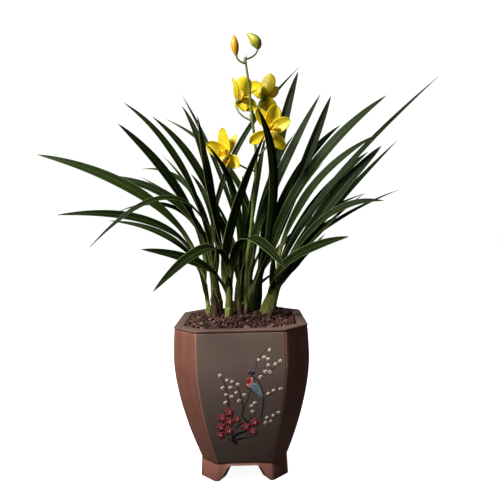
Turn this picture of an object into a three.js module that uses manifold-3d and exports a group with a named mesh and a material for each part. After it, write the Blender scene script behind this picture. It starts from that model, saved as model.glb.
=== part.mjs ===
// A yellow-flowered orchid in a chamfered square clay pot, as a three.js scene in millimetres.
// +Z is up, the front faces -Y, and the origin is on the ground under the pot's axis.
//
// The pot is one fired piece with four bracket feet and a drain hole, and grit fills it. Seven leafy
// shoots, each a pseudobulb with its fan of arching blades, stand in holes in the grit. Among them
// stand a flower stem with four open blooms and two buds, and the dry brown sheaths of old leaves.

import * as THREE from "three";
import Module from "manifold-3d";

const wasm = await Module();
wasm.setup();

// ---- driving dimensions -------------------------------------------------------------------------

// Pot. A half is half of the width across two flat faces.
const RIM_Z = 204;
const RIM_HALF = 87.6;
const BELLY_Z = 160; // above this the walls are almost upright
const BELLY_HALF = 89.2;
const WAIST_HALF = 56.2;
const BODY_Z = 22; // underside of the body, on top of the feet
const TAPER_POWER = 1.6; // how roundly the belly draws in to the waist
const CHAMFER = 0.345; // the corner cut, as a share of the half width
const WALL = 9;
const LIP = 12; // flat top of the rim
const FLOOR = 10;
const DRAIN_RADIUS = 11;
const FOOT_HALF = 58.8;
const FOOT_TOP_HALF = 55.4;
const FOOT_DEPTH = 15; // from a foot's face to its back
const APRON_Z = 20; // top of the opening between two feet

// Grit.
const CLEAR = 0.3; // between pieces that touch
const GRIT_EDGE_Z = 201.5;
const GRIT_CROWN_Z = 210.5;
const STONE = 7.4; // radius of a stone
const STONES_ACROSS = 10;

// Shoots.
const SINK = 13; // how deep a pseudobulb stands in the grit
const BULB = 10; // its largest radius
const BULB_SLIM = 0.8; // its thickness over its width
const BULB_TALL = 46; // above the grit
const LOWEST_BLADE = 6; // how high above the grit the outermost blade of a fan leaves
const HIGHEST_BLADE = 34; // and the innermost one
const BLADE_THICK = 1.5;
const BLADE_STEPS = 9;
const SHEATH_STEPS = 4;

// Flower stem.
const STEM_FOOT = 2.7;
const STEM_TOP = 1.5;
const STALK = 1.25; // radius of the short stalk of a bloom or bud
const TEPAL_THICK = 1.5;

// Each shoot: where its bulb stands, the way it leans, and its blades from the outermost in. A blade is
// [tip x, y, z, bow, skew, sway, width, roll]: bow is how far its arch stands off the straight line from
// foot to tip, skew is how far along that line the arch is fullest, sway is how far it stands off
// sideways, and roll is its turn in degrees.
const SHOOTS = {
  shoot_1: {
    at: [-43, -4],
    lean: [-6, 0],
    blades: [
      [-57, -18, 274, 3, 0.45, 0, 9, 0],
      [-188, 8, 346, 39, 0.4, 0, 12, -50],
      [-237, -60, 354, 56, 0.35, 0, 17, -55],
      [-281, -10, 441, 51, 0.37, 0, 20, -62],
      [-161, -34, 477, 30, 0.43, 0, 20, -60],
    ],
  },
  shoot_2: {
    at: [-34, 18],
    lean: [-4, 3],
    blades: [
      [-151, 176, 400, 50, 0.57, 0, 13, 20],
      [-167, 150, 435, 72, 0.52, 0, 10, -40],
      [-214, 45, 415, 60, 0.46, 0, 17, -55],
      [-194, 75, 359, 69, 0.56, 2, 10, -40],
      [-169, 35, 522, 38, 0.58, 4, 14, -50],
      [-73, 50, 415, 26, 0.6, 0, 11, -40],
      [-84, 50, 519, 26, 0.62, 0, 13, -50],
      [98, 62, 577, 48, 0.39, 0, 15, 60],
    ],
  },
  shoot_3: {
    at: [-17, -21],
    lean: [2, -3],
    blades: [
      [-16, -36, 268, 4, 0.45, 0, 13, 0],
      [-126, -70, 307, 27, 0.25, 0, 18, -60],
      [52, -180, 286, 64, 0.37, 0, 20, 12],
      [-99, -140, 260, 64, 0.26, 10, 19, -30],
      [37, -85, 449, 17, 0.22, -9, 18, 0],
      [-118, -12, 490, 32, 0.56, 0, 15, -55],
      [-184, -95, 312, 95, 0.6, 5, 11, -45],
      [-52, -40, 483, -2, 0.25, 0, 20, -60],
    ],
  },
  shoot_4: {
    at: [-3, 8],
    lean: [1, 2],
    blades: [
      [12, 25, 338, 3, 0.34, 0, 12, 60],
      [-37, -86, 437, 50, 0.56, 2, 15, -20],
      [42, 22, 468, 3, 0.5, 0, 12, 60],
      [121, 5, 520, 10, 0.4, 0, 20, 60],
    ],
  },
  shoot_5: {
    at: [18, 15],
    lean: [6, 1],
    blades: [
      [162, 80, 489, 33, 0.55, 0, 16, 50],
      [206, -30, 507, 34, 0.52, 0, 20, 60],
      [145, 60, 531, 1, 0.62, 0, 21, 60],
      [93, 34, 562, 9, 0.66, -2, 17, 60],
      [28, -67, 488, 2, 0.66, 24, 19, 10],
    ],
  },
  shoot_6: {
    at: [34, -8],
    lean: [18, -2],
    blades: [
      [135, -110, 318, 35, 0.22, 0, 18, 58],
      [62, -22, 262, 4, 0.45, 0, 14, 0],
      [130, -64, 344, 8, 0.62, 0, 17, 50],
      [183, -90, 361, 35, 0.68, 0, 15, 50],
      [182, -60, 448, 35, 0.54, -4, 16, 60],
      [281, -20, 534, 29, 0.25, 0, 11, 50],
      [249, 70, 462, 11, 0.25, 4, 11, 45],
      [193, -48, 436, 10, 0.5, -3, 21, 65],
      [196, 40, 441, 24, 0.38, -2, 16, 60],
    ],
  },
  shoot_7: {
    at: [10, 42],
    lean: [2, 7],
    blades: [
      [272, 150, 389, 24, 0.42, 0, 9, 30],
      [-65, 160, 388, 24, 0.4, 0, 10, -30],
      [206, 120, 382, 30, 0.4, 0, 10, 35],
      [62, 180, 404, 30, 0.42, 0, 14, 15],
      [4, 176, 423, 22, 0.4, 0, 13, 10],
      [-117, 110, 511, 64, 0.42, 0, 12, -45],
      [96, 152, 490, 30, 0.48, 0, 9, 40],
      [188, 140, 503, 24, 0.42, 0, 12, 45],
      [-96, 150, 561, 22, 0.42, 0, 9, -40],
    ],
  },
};

// Dry sheaths: where each stands in the grit, and [tip x, y, z, width].
const DRY_SHEATHS = {
  dry_sheath_1: { at: [-34, -16], tip: [-38, -20, 246, 13] },
  dry_sheath_2: { at: [1, -25], tip: [-3, -30, 238, 9] },
  dry_sheath_3: { at: [8, -19], tip: [9, -20, 228, 8] },
  dry_sheath_4: { at: [34, -24], tip: [40, -30, 232, 10] },
};

// The flower stem's line, from the grit up.
const STEM_LINE = [
  [7, -13, 188],
  [8, -13, 262],
  [19, -13, 349],
  [26, -13, 425],
  [22, -12, 485],
  [18, -12, 535],
  [14, -12, 570],
];

// Stalks: from a height on the stem, by way of a bend, to the back of a bloom or bud.
const STALKS = {
  bloom_1: { from: 410, bend: [9, -20, 413], to: [-2, -23, 422] },
  bloom_2: { from: 430, bend: [35, -18, 434], to: [44, -22, 447] },
  bloom_3: { from: 481, bend: [4, -8, 487], to: [0, 0, 504] },
  bloom_4: { from: 486, bend: [30, -4, 494], to: [36, 10, 511] },
  bud_1: { from: 561, bend: [3, -12, 564], to: [2, -12, 573] },
  bud_2: { from: 567, bend: [30, -12, 570], to: [32, -12, 581] },
};

// Blooms: the heart, the way it faces, and [tip x, y, z, width, turn] of its three sepals and two
// petals. A turn is in degrees about the tepal's own length.
const BLOOMS = {
  bloom_1: {
    heart: [-12, -28, 430],
    face: [-0.72, -0.66, 0.2],
    tepals: [
      [-21, -24, 470, 21, 0],
      [-2, -14, 462, 19, 0],
      [-42, -24, 449, 21, 0],
      [-17, -42, 412, 16, 0],
      [2, -40, 414, 19, 0],
    ],
  },
  bloom_2: {
    heart: [45, -31, 462],
    face: [0.3, -0.92, 0.25],
    tepals: [
      [29, -28, 495, 19, 0],
      [55, -32, 498, 22, 0],
      [73, -38, 476, 20, 0],
      [64, -36, 436, 20, 0],
      [17, -36, 446, 17, 0],
    ],
  },
  bloom_3: {
    heart: [3, 6, 514],
    face: [0.75, -0.1, 0.65],
    tepals: [
      [0, 4, 553, 16, 20],
      [18, -8, 550, 24, 60],
      [37, 14, 542, 20, -30],
      [28, 8, 503, 18, 0],
      [15, -8, 499, 17, 0],
    ],
  },
  bloom_4: {
    heart: [42, 19, 522],
    face: [0.3, 0.9, 0.3],
    tepals: [
      [51, 20, 560, 21, 0],
      [69, 32, 540, 19, 0],
      [24, 38, 541, 19, 0],
      [56, 22, 499, 18, 0],
      [35, 30, 496, 17, 0],
    ],
  },
};
const LIP_LONG = 21;
const LIP_WIDE = 15;

// Buds: the tip, the way the bud bellies out sideways, its largest radius, and how far it bellies.
const BUDS = {
  bud_1: { tip: [0, -12, 603], radius: 5.2, belly: 1.5 },
  bud_2: { tip: [17, -12, 605], radius: 7.6, belly: 6 },
};

// ---- solids -------------------------------------------------------------------------------------

const v3 = (p) => new THREE.Vector3(...p);
const Z_AXIS = new THREE.Vector3(0, 0, 1);
const { degToRad, lerp, smoothstep } = THREE.MathUtils;

// A repeatable random number in 0..1.
function random(seed) {
  let state = seed;
  return () => (state = (state * 16807) % 2147483647) / 2147483647;
}

const solid = (vertices, faces) =>
  new wasm.Manifold(
    new wasm.Mesh({
      numProp: 3,
      vertProperties: new Float32Array(vertices),
      triVerts: new Uint32Array(faces),
    }),
  );

// A closed surface through rings of points that run counter-clockwise about the way it grows. The last
// ring may be one point. Every other strip is split the other way, so that the two faces of a folded
// blade have the same triangles.
function loft(rings) {
  const faces = [];
  let start = 0;
  rings.slice(1).forEach((upper, i) => {
    const count = rings[i].length;
    const next = start + count;
    for (let j = 0; j < count; j++) {
      const k = (j + 1) % count;
      const [a, b] = [start + j, start + k];
      if (upper.length === 1) faces.push(a, b, next);
      else if (j % 2) faces.push(a, b, next + j, b, next + k, next + j);
      else faces.push(a, b, next + k, a, next + k, next + j);
    }
    start = next;
  });
  for (let j = 1; j < rings[0].length - 1; j++) faces.push(0, j + 1, j);
  const last = rings.at(-1);
  for (let j = 1; j < last.length - 1; j++) faces.push(start, start + j, start + j + 1);
  return solid(rings.flat().flatMap((p) => p.toArray()), faces);
}

// Solids joined into one body. Hollows that the join seals are filled, and loose scraps are dropped.
function fuse(solids) {
  const bodies = solids.reduce((whole, piece) => whole.add(piece)).decompose();
  return bodies.reduce((best, body) => (body.volume() > best.volume() ? body : best));
}

function mesh(name, shape, material) {
  const { vertProperties, triVerts } = shape.getMesh();
  const geometry = new THREE.BufferGeometry();
  geometry.setAttribute("position", new THREE.BufferAttribute(vertProperties, 3));
  geometry.setIndex(new THREE.BufferAttribute(triVerts, 1));
  geometry.computeVertexNormals();
  const made = new THREE.Mesh(geometry, material);
  made.name = name;
  return made;
}

// The eight corners of a square with cut corners, at one height.
function chamferedSquare(half, z) {
  const near = half * (1 - CHAMFER);
  return [
    [half, -near], [half, near], [near, half], [-near, half],
    [-half, near], [-half, -near], [-near, -half], [near, -half],
  ].map(([x, y]) => new THREE.Vector3(x, y, z));
}

// A ring of points round a centre, across two axes.
function ellipse(centre, u, v, sides) {
  return Array.from({ length: sides }, (_, i) => {
    const a = (i / sides) * 2 * Math.PI;
    return centre.clone().addScaledVector(u, Math.cos(a)).addScaledVector(v, Math.sin(a));
  });
}

// A round rod along a curve, its radius at t given by a function.
function rod(curve, radiusAt, steps, sides) {
  const rings = Array.from({ length: steps + 1 }, (_, i) => {
    const t = i / steps;
    const along = curve.getTangent(t);
    const u = new THREE.Vector3(0, 1, 0.2).cross(along).setLength(radiusAt(t));
    return ellipse(curve.getPoint(t), u, along.cross(u), sides);
  });
  return loft(rings);
}

// A pointed plate along a curve, with a rib down its middle. It starts out across `side`, and shape(t)
// gives its half width, the fold of its halves and its turn about the curve, both in radians.
function plate(curve, side, steps, thick, shape) {
  const rings = Array.from({ length: steps }, (_, i) => {
    const t = i / steps;
    const { half, fold, turn } = shape(t);
    const centre = curve.getPoint(t);
    const along = curve.getTangent(t);
    const across = side.clone().applyAxisAngle(along, turn);
    const up = along.clone().cross(across);
    const margin = (s) =>
      centre
        .clone()
        .addScaledVector(across, s * half * Math.cos(fold))
        .addScaledVector(up, half * Math.sin(fold));
    const rib = (s) => centre.clone().addScaledVector(up, (s * thick) / 2);
    return [margin(1), rib(1), margin(-1), rib(-1)];
  });
  return loft([...rings, [curve.getPoint(1)]]);
}

// ---- pot ----------------------------------------------------------------------------------------

// Half width of the outside at a height: nearly upright to the belly, then drawing in to the waist.
function potHalf(z) {
  if (z > BELLY_Z) {
    const up = (z - BELLY_Z) / (RIM_Z - BELLY_Z);
    return lerp(BELLY_HALF, RIM_HALF, up * up);
  }
  const down = (BELLY_Z - z) / (BELLY_Z - BODY_Z);
  return BELLY_HALF - (BELLY_HALF - WAIST_HALF) * down ** TAPER_POWER;
}

const CAVITY_Z = BODY_Z + FLOOR;
const BODY_LEVELS = [BODY_Z, 34, 50, 68, 88, 110, 134, BELLY_Z, 184, RIM_Z];
const NECK_DEEP = 4; // how thick the lip stands in over the wall

function cavity(clear) {
  const levels = BODY_LEVELS.filter((z) => z > CAVITY_Z + FLOOR && z < RIM_Z);
  const walls = [CAVITY_Z, ...levels].map((z) => chamferedSquare(potHalf(z) - WALL - clear, z));
  walls[0].forEach((corner) => (corner.z += clear));
  const neck = [RIM_Z - NECK_DEEP, RIM_Z + NECK_DEEP].map((z) =>
    chamferedSquare(RIM_HALF - LIP - clear, z),
  );
  return loft([...walls, ...neck]);
}

// The tunnel between two feet, with its bracket-shaped sides, along X or along Y.
function tunnel(place) {
  const spread = FOOT_HALF * (1 - CHAMFER) - 5;
  const arch = new THREE.Shape();
  arch.moveTo(-spread, -1);
  arch.lineTo(spread, -1);
  arch.lineTo(spread - 8, 11);
  arch.quadraticCurveTo(spread - 11, APRON_Z - 1, spread - 16.5, APRON_Z);
  arch.lineTo(16.5 - spread, APRON_Z);
  arch.quadraticCurveTo(11 - spread, APRON_Z - 1, 8 - spread, 11);
  const outline = arch.getPoints(3).slice(0, -1);
  return loft([-FOOT_HALF - 5, FOOT_HALF + 5].map((d) => outline.map((p) => place(p, d))));
}

// The ring of clay under the body, with a tunnel through it both ways, so that four feet are left.
function feet() {
  const outside = [chamferedSquare(FOOT_HALF, 0), chamferedSquare(FOOT_TOP_HALF, BODY_Z + 1)];
  const inside = [
    chamferedSquare(FOOT_HALF - FOOT_DEPTH, -1),
    chamferedSquare(FOOT_TOP_HALF - FOOT_DEPTH, BODY_Z),
  ];
  return loft(outside)
    .subtract(loft(inside))
    .subtract(tunnel((p, d) => new THREE.Vector3(d, p.x, p.y)))
    .subtract(tunnel((p, d) => new THREE.Vector3(-p.x, d, p.y)));
}

function pot() {
  const body = loft(BODY_LEVELS.map((z) => chamferedSquare(potHalf(z), z)));
  const axis = new THREE.LineCurve3(v3([0, 0, BODY_Z - 5]), v3([0, 0, CAVITY_Z + 5]));
  const drain = rod(axis, () => DRAIN_RADIUS, 1, 16);
  return body.add(feet()).subtract(cavity(0)).subtract(drain);
}

// ---- grit ---------------------------------------------------------------------------------------

const GRIT_HALF = RIM_HALF - LIP;

// Height of the heaped grit.
function gritTop(x, y) {
  const out = Math.min(1, Math.hypot(x, y) / GRIT_HALF);
  return lerp(GRIT_CROWN_Z, GRIT_EDGE_Z, out * out);
}

// A closed three.js geometry as a solid, with its shared corners merged.
function merged(geometry) {
  const position = geometry.getAttribute("position");
  const found = new Map();
  const vertices = [];
  const faces = [];
  for (let i = 0; i < position.count; i++) {
    const p = [position.getX(i), position.getY(i), position.getZ(i)];
    const key = p.map((x) => x.toFixed(4)).join();
    if (!found.has(key)) {
      found.set(key, found.size);
      vertices.push(...p);
    }
    faces.push(found.get(key));
  }
  return solid(vertices, faces);
}

// Angular stones on a jittered grid, half sunk in the heap.
function stones() {
  const draw = random(20261);
  const pitch = (2 * GRIT_HALF) / STONES_ACROSS;
  const made = [];
  for (let i = 0; i < STONES_ACROSS; i++) {
    for (let j = 0; j < STONES_ACROSS; j++) {
      const x = (i + 0.2 + 0.6 * draw()) * pitch - GRIT_HALF;
      const y = (j + 0.2 + 0.6 * draw()) * pitch - GRIT_HALF;
      const shape = new THREE.OctahedronGeometry(STONE);
      shape.scale(0.8 + 0.5 * draw(), 0.75 + 0.4 * draw(), 0.6 + 0.4 * draw());
      shape.rotateX(3 * draw()).rotateY(3 * draw()).rotateZ(3 * draw());
      shape.translate(x, y, gritTop(x, y) - 1.5 + 1.5 * draw());
      if (Math.abs(x) + Math.abs(y) < GRIT_HALF * (2 - CHAMFER) - STONE) made.push(merged(shape));
    }
  }
  return made;
}

function grit() {
  const shares = [1, 0.66, 0.33, 0.04];
  const crown = shares.map((s) => chamferedSquare(GRIT_HALF * s, gritTop(GRIT_HALF * s, 0)));
  const heap = loft([chamferedSquare(GRIT_HALF, CAVITY_Z + FLOOR), ...crown]);
  const room = cavity(CLEAR);
  const below = room.trimByPlane([0, 0, -1], NECK_DEEP - GRIT_EDGE_Z);
  const wells = [
    ...Object.values(SHOOTS).map((shoot) => bulb(shoot, 0.5)),
    ...Object.values(DRY_SHEATHS).map((row) => drySheath(row, 0.5)),
    rod(STEM, (t) => stemRadius(t) + 0.5, 12, 8),
  ];
  return fuse([below, heap.intersect(room), ...stones().map((s) => s.intersect(room))]).subtract(
    wells.reduce((all, well) => all.add(well)),
  );
}

// ---- shoots -------------------------------------------------------------------------------------

// A pseudobulb wrapped in its leaf bases: a leaning flask, slimmer from front to back.
function bulb({ at, lean }, grown = 0) {
  const foot = gritTop(...at) - SINK;
  const flask = [[0, 0.6], [0.2, 0.94], [0.42, 1], [0.62, 0.82], [0.82, 0.56], [1, 0.36]];
  const rings = flask.map(([up, wide]) => {
    const z = foot + up * (BULB_TALL + SINK) - (up ? 0 : grown);
    const centre = new THREE.Vector3(at[0] + lean[0] * up, at[1] + lean[1] * up, z);
    const u = new THREE.Vector3(BULB * wide + grown, 0, 0);
    const v = new THREE.Vector3(0, BULB * BULB_SLIM * wide + grown, 0);
    return ellipse(centre, u, v, 8);
  });
  return loft(rings);
}

// A quadratic arch from foot to tip.
function arch(foot, tip, bow, skew, sway) {
  const chord = tip.clone().sub(foot);
  const side = new THREE.Vector3(-chord.y, chord.x, 0).normalize();
  const rise = chord.clone().normalize().cross(side);
  const peak = foot
    .clone()
    .addScaledVector(chord, skew)
    .addScaledVector(rise, 2 * bow)
    .addScaledVector(side, 2 * sway);
  return { curve: new THREE.QuadraticBezierCurve3(foot, peak, tip), side };
}

// A blade's width at t, as a share of its full width: a clasping base, a slight neck, a long swell.
function bladeShare(t) {
  const base = 0.2 * Math.max(0, 1 - t / 0.15) ** 2;
  const swell = 0.7 + 0.3 * Math.sin((Math.min(t / 0.55, 1) * Math.PI) / 2) ** 2;
  const point = Math.max(0, (t - 0.5) / 0.5);
  return base + swell * (1 - point ** 2.2) ** 0.9;
}

// One blade: folded at its foot and opening to a shallow V towards its pointed tip.
function blade({ at, lean }, [x, y, z, bow, skew, sway, width, roll], order) {
  const height = lerp(LOWEST_BLADE, HIGHEST_BLADE, order);
  const share = (height + SINK) / (BULB_TALL + SINK);
  const outward = new THREE.Vector3(x - at[0], y - at[1], 0).setLength(lerp(5, 2, order));
  const foot = v3([at[0] + lean[0] * share, at[1] + lean[1] * share, gritTop(...at) + height]);
  const { curve, side } = arch(foot.add(outward), v3([x, y, z]), bow, skew, sway);
  const steps = z < RIM_Z + 90 && width < 16 ? SHEATH_STEPS : BLADE_STEPS;
  return plate(curve, side, steps, BLADE_THICK, (t) => ({
    half: (width / 2) * bladeShare(t),
    fold: degToRad(12 + 48 * (1 - t) ** 3),
    turn: degToRad(roll) * smoothstep(t, 0, 0.7),
  }));
}

function shoot(row) {
  const last = row.blades.length - 1;
  return fuse([bulb(row), ...row.blades.map((b, i) => blade(row, b, i / last))]);
}

// A papery brown sheath, curled about a line from the grit up.
function drySheath({ at, tip: [x, y, z, width] }, grown = 0) {
  const foot = v3([...at, gritTop(...at) - SINK / 2 - grown]);
  const { curve } = arch(foot, v3([x, y, z]), 0.5, 0.5, 0);
  return plate(curve, new THREE.Vector3(1, 0, 0), SHEATH_STEPS, 1.8 + 2 * grown, (t) => ({
    half: (width / 2) * (1 - 0.45 * t ** 2) + grown,
    fold: degToRad(24),
    turn: 0,
  }));
}

// ---- flower stem --------------------------------------------------------------------------------

const STEM = new THREE.CatmullRomCurve3(STEM_LINE.map(v3));
const stemRadius = (t) => lerp(STEM_FOOT, STEM_TOP, t);

// The point of the stem at a height, found by halving.
function stemAt(z) {
  let [low, high] = [0, 1];
  for (let i = 0; i < 30; i++) {
    const mid = (low + high) / 2;
    if (STEM.getPoint(mid).z < z) low = mid;
    else high = mid;
  }
  return STEM.getPoint(low);
}

const stalkCurve = ({ from, bend, to }) =>
  new THREE.QuadraticBezierCurve3(stemAt(from), v3(bend), v3(to));

function stem() {
  const stalks = Object.values(STALKS).map((row) => rod(stalkCurve(row), () => STALK, 4, 6));
  return fuse([rod(STEM, stemRadius, 12, 8), ...stalks]);
}

// ---- blooms and buds ----------------------------------------------------------------------------

// The point just clear of a stalk's end, and the way the stalk leaves.
function stalkEnd(name) {
  const away = stalkCurve(STALKS[name]).getTangent(1);
  return { away, end: v3(STALKS[name].to).addScaledVector(away, CLEAR) };
}

// A tepal's width at t, as a share of its full width: it swells from its foot and ends in a blunt point.
function tepalShare(t) {
  const swell = 0.35 + 0.65 * Math.sin((Math.min(t / 0.55, 1) * Math.PI) / 2);
  const point = Math.max(0, (t - 0.55) / 0.45);
  return swell * Math.sqrt(1 - point ** 2.4);
}

function tepal(heart, face, [x, y, z, width, turn]) {
  const tip = v3([x, y, z]);
  const middle = heart.clone().lerp(tip, 0.45).addScaledVector(face, -5);
  const curve = new THREE.QuadraticBezierCurve3(heart, middle, tip);
  const side = face.clone().cross(tip.clone().sub(heart)).normalize();
  return plate(curve, side, 6, TEPAL_THICK, (t) => ({
    half: (width / 2) * tepalShare(t),
    fold: degToRad(18),
    turn: degToRad(turn),
  }));
}

// The lip hangs forward and rolls under, and a lobe stands up at each side of it.
function lip(heart, face, top, side) {
  const at = (f, t, s) =>
    heart.clone().addScaledVector(face, f).addScaledVector(top, t).addScaledVector(side, s);
  const tongue = new THREE.QuadraticBezierCurve3(
    at(1, -1, 0), at(LIP_LONG * 0.85, -1, 0), at(LIP_LONG * 0.62, -LIP_LONG * 0.8, 0),
  );
  const round = (width) => (t) => ({
    half: (width / 2) * (0.35 + 0.65 * Math.sin(Math.PI * t)),
    fold: degToRad(14),
    turn: 0,
  });
  const lobes = [1, -1].map((s) => {
    const curve = new THREE.QuadraticBezierCurve3(at(1, 0, s), at(6, -1, 7 * s), at(13, 5, 6 * s));
    return plate(curve, top.clone().multiplyScalar(s), 3, TEPAL_THICK, round(LIP_WIDE * 0.6));
  });
  return [plate(tongue, side, 4, TEPAL_THICK, round(LIP_WIDE)), ...lobes];
}

function bloom(name) {
  const row = BLOOMS[name];
  const heart = v3(row.heart);
  const face = v3(row.face).normalize();
  const side = face.clone().cross(Z_AXIS).normalize();
  const top = side.clone().cross(face);
  const { away, end } = stalkEnd(name);
  const throat = heart.clone().addScaledVector(face, 2);
  const neck = new THREE.QuadraticBezierCurve3(end, end.clone().addScaledVector(away, 4), throat);
  const bow = new THREE.QuadraticBezierCurve3(
    heart,
    heart.clone().addScaledVector(face, 8).addScaledVector(top, 5),
    heart.clone().addScaledVector(face, 13).addScaledVector(top, 2),
  );
  return fuse([
    rod(neck, (t) => lerp(1.4, 4, t * t), 3, 6),
    rod(bow, (t) => 2.2 + 0.6 * t, 2, 6),
    ...row.tepals.map((t) => tepal(heart, face, t)),
    ...lip(heart, face, top, side),
  ]);
}

function bud(name) {
  const { tip, radius, belly } = BUDS[name];
  const { end } = stalkEnd(name);
  const middle = end.clone().lerp(v3(tip), 0.5);
  middle.x += 2 * belly;
  const curve = new THREE.QuadraticBezierCurve3(end, middle, v3(tip));
  const swell = (t) => radius * (0.3 + 0.7 * Math.sin(Math.PI * t) ** 0.8) * (1 - 0.8 * t ** 5);
  return rod(curve, swell, 7, 8);
}

// ---- the whole ----------------------------------------------------------------------------------

const material = (color, roughness) => new THREE.MeshStandardMaterial({ color, roughness });
const CLAY = material(0x8a5546, 0.8);
const STONES = material(0x5f4139, 0.95);
const LEAF = material(0x2c4a1c, 0.45);
const HUSK = material(0x5a3d30, 0.85);
const GREEN_STEM = material(0x7d9a3a, 0.5);
const PETAL = material(0xf2cf12, 0.5);

const orchid = new THREE.Group();
orchid.add(mesh("pot", pot(), CLAY));
orchid.add(mesh("grit", grit(), STONES));
Object.entries(SHOOTS).forEach(([name, row]) => orchid.add(mesh(name, shoot(row), LEAF)));
Object.entries(DRY_SHEATHS).forEach(([name, row]) => orchid.add(mesh(name, drySheath(row), HUSK)));
orchid.add(mesh("flower_stem", stem(), GREEN_STEM));
Object.keys(BLOOMS).forEach((name) => orchid.add(mesh(name, bloom(name), PETAL)));
Object.keys(BUDS).forEach((name) => orchid.add(mesh(name, bud(name), PETAL)));

export default orchid;
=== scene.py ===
"""A yellow-flowered orchid in a clay pot: the looks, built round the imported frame.

Sizes are in millimetres until a shape becomes a piece. +Z is up and the front faces -Y.
"""

import math
import random

import bmesh
import bpy
from mathutils import Matrix, Quaternion, Vector


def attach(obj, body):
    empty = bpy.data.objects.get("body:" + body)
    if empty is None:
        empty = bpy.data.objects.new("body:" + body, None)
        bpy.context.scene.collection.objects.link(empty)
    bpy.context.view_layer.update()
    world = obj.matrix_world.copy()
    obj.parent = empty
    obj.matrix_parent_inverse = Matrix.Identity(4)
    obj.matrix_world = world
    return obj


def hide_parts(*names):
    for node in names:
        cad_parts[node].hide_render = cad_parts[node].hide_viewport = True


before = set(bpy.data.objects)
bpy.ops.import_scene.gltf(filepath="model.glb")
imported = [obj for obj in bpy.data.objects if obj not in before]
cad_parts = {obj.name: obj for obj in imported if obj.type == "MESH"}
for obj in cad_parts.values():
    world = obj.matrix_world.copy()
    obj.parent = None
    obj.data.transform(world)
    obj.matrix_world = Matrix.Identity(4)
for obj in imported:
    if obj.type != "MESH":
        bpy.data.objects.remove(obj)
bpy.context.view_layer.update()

MM = 0.001

# ---- sizes -----------
# Pot. A half is half of the width across two flat faces.
RIM_Z = 204
RIM_HALF = 87.6
BELLY_Z = 160  # height of the widest place
BELLY_HALF = 89.2
WAIST_HALF = 56.2  # where the body stands on its feet
BODY_Z = 22  # underside of the body
TAPER_POWER = 1.6
CHAMFER = 0.345  # how much of a half each cut corner takes
CORNER_ROUND = 0.045  # how much of a half the rounding of an edge takes
WALL = 9
RIM_WIDE = 12
CAVITY_Z = 32  # top of the floor inside
DRAIN_RADIUS = 11
FOOT_HALF = 58.8
FOOT_TOP_HALF = 55.4
FOOT_DEPTH = 15
# The opening between two feet: (distance from its middle, height of the clay above the ground).
BRACKET = [(0, 20), (17, 20), (19.5, 19.4), (22, 17.4), (24, 14.2), (25.5, 11), (33.2, 0), (99, 0)]

# Grit.
GRIT_HALF = RIM_HALF - RIM_WIDE
GRIT_EDGE_Z = 201.5
GRIT_CROWN_Z = 210.5
STONE_PITCH = 4.1
STONE_RADII = (1.5, 3.1)
MOUND = (52, 44)  # middle of a low mound at the back right
MOUND_TALL = 5.5
MOUND_WIDE = 260  # twice the square of its spread

# Shoots.
SINK = 13  # how deep a shoot stands in the grit
BULB_TALL = 46  # and how far its solid foot reaches above it
LOWEST_BLADE = 11  # how far above the grit the outermost blade leaves its shoot
HIGHEST_BLADE = 36  # and the innermost one

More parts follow.
